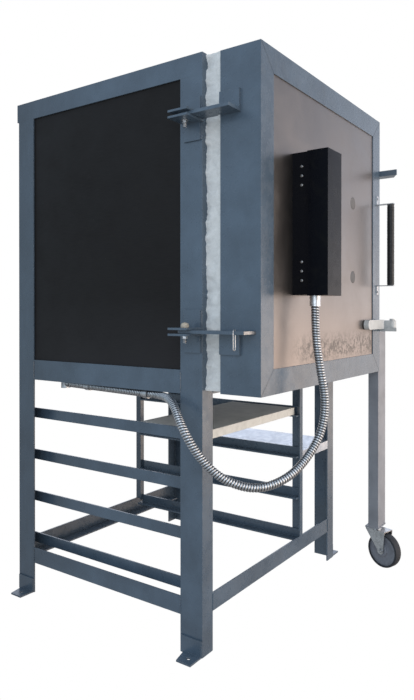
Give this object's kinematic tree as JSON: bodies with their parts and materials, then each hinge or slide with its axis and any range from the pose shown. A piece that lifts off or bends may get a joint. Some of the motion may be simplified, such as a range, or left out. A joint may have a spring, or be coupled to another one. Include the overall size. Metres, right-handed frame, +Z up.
{
  "type": "front-loading electric kiln",
  "caption": "Front-loading electric kiln on an angle-iron stand with a shelf rack, swinging door on a caster leg, element box, flexible conduit and latch.",
  "frame": {"origin": "floor, at the centre of the four floor-bolt holes", "axes": "+X to the kiln's right seen from its door, +Y to the back, +Z up"},
  "size_m": [1.1389, 1.0785, 1.672],
  "materials": {
    "frame_paint": "semi-gloss blue-grey paint, worn at the hinges",
    "sheet_dark": "dark satin paint with fine horizontal grain",
    "stainless": "brushed, cloudy, smudged",
    "galvanised": "plain galvanised sheet",
    "zinc": "zinc plated",
    "steel": "plain steel",
    "black_sheet": "satin black",
    "grip": "ribbed black grip",
    "brick": "insulating firebrick, porous",
    "fibre": "ceramic fibre, soft torn edges",
    "plug": "grey refractory",
    "shelf": "kiln shelf with kiln wash",
    "wire": "oxidised heating wire",
    "probe": "ceramic sheath",
    "hose": "ribbed galvanised steel conduit",
    "latch_metal": "light grey",
    "tyre": "dark grey rubber",
    "electrics": "moulded electrical housing",
    "knob": "black knob"
  },
  "bodies": {
    "kiln": {"front_left_post": "frame_paint", "front_right_post": "frame_paint", "rear_left_post": "frame_paint", "rear_right_post": "frame_paint", "foot_clips": "frame_paint", "top_ring": "frame_paint", "base_side_rails": "frame_paint", "base_cross_rails": "frame_paint", "lower_left_rail": "frame_paint", "lower_cross_rails": "frame_paint", "rack_uprights": "frame_paint", "left_shelf_runners": "frame_paint", "right_shelf_runners": "frame_paint", "side_tray": "galvanised", "left_cover": "sheet_dark", "right_cover": "sheet_dark", "rear_cover": "sheet_dark", "top_cover": "sheet_dark", "floor_pan": "galvanised", "hearth_bricks": "brick", "left_bricks": "brick", "right_bricks": "brick", "rear_bricks": "brick", "roof_bricks": "brick", "fibre_gasket": "fibre", "wall_elements": "wire", "thermocouple": "probe", "hinge_lugs": "frame_paint", "hinge_bolts": "zinc", "control_cabinet": "black_sheet", "cabinet_cover": "black_sheet", "contactors": "electrics", "controller": "electrics", "power_gland": "electrics", "conduit_run": "hose", "conduit_elbow": "zinc", "conduit_clamps": "zinc", "latch_arms": "frame_paint", "door_conduit": "hose"},
    "door": {"door_frame": "frame_paint", "door_panel": "stainless", "door_bricks": "brick", "door_hinge_straps": "frame_paint", "element_box_base": "black_sheet", "element_box_cover": "black_sheet", "element_box_screws": "steel", "door_elements": "wire", "handle_grip": "grip", "handle_brackets": "zinc", "door_leg": "frame_paint", "latch_keeper": "latch_metal", "conduit_connector": "zinc"},
    "upper_plug": {"upper_peep_plug": "plug"},
    "lower_plug": {"lower_peep_plug": "plug"},
    "caster": {"caster_fork": "zinc"},
    "wheel": {"caster_wheel": "tyre"},
    "lever": {"latch_lever": "latch_metal"},
    "shelf": {"stored_shelf": "shelf"},
    "switch": {"power_switch": "knob"}
  },
  "joints": [
    {"name": "door_hinge", "type": "hinge", "parent": "kiln", "child": "door", "pos_m": [-0.48, -0.349, 0.903], "axis": [0, 0, -1], "range_deg": [0, 120], "deforming": ["door_conduit"]},
    {"name": "upper_plug_slide", "type": "slide", "parent": "door", "child": "upper_plug", "axis": [0, -1, 0], "range_m": [0, 0.16]},
    {"name": "lower_plug_slide", "type": "slide", "parent": "door", "child": "lower_plug", "axis": [0, -1, 0], "range_m": [0, 0.16]},
    {"name": "caster_swivel", "type": "hinge", "parent": "door", "child": "caster", "pos_m": [0.475, -0.5365, 0.149], "axis": [0, 0, 1], "continuous": true},
    {"name": "caster_spin", "type": "hinge", "parent": "caster", "child": "wheel", "pos_m": [0.46397, -0.57495, 0.0635], "axis": [0.9613, -0.2756, 0], "continuous": true},
    {"name": "latch_lever_turn", "type": "hinge", "parent": "kiln", "child": "lever", "pos_m": [0.4625, -0.604, 0.898], "axis": [0, 0, 1], "range_deg": [-270, 0]},
    {"name": "shelf_slide", "type": "slide", "parent": "kiln", "child": "shelf", "axis": [0, -1, 0], "range_m": [0, 0.15]},
    {"name": "power_switch_turn", "type": "hinge", "parent": "kiln", "child": "switch", "pos_m": [0.59, -0.054, 1.08], "axis": [1, 0, 0], "range_deg": [0, 90]}
  ]
}
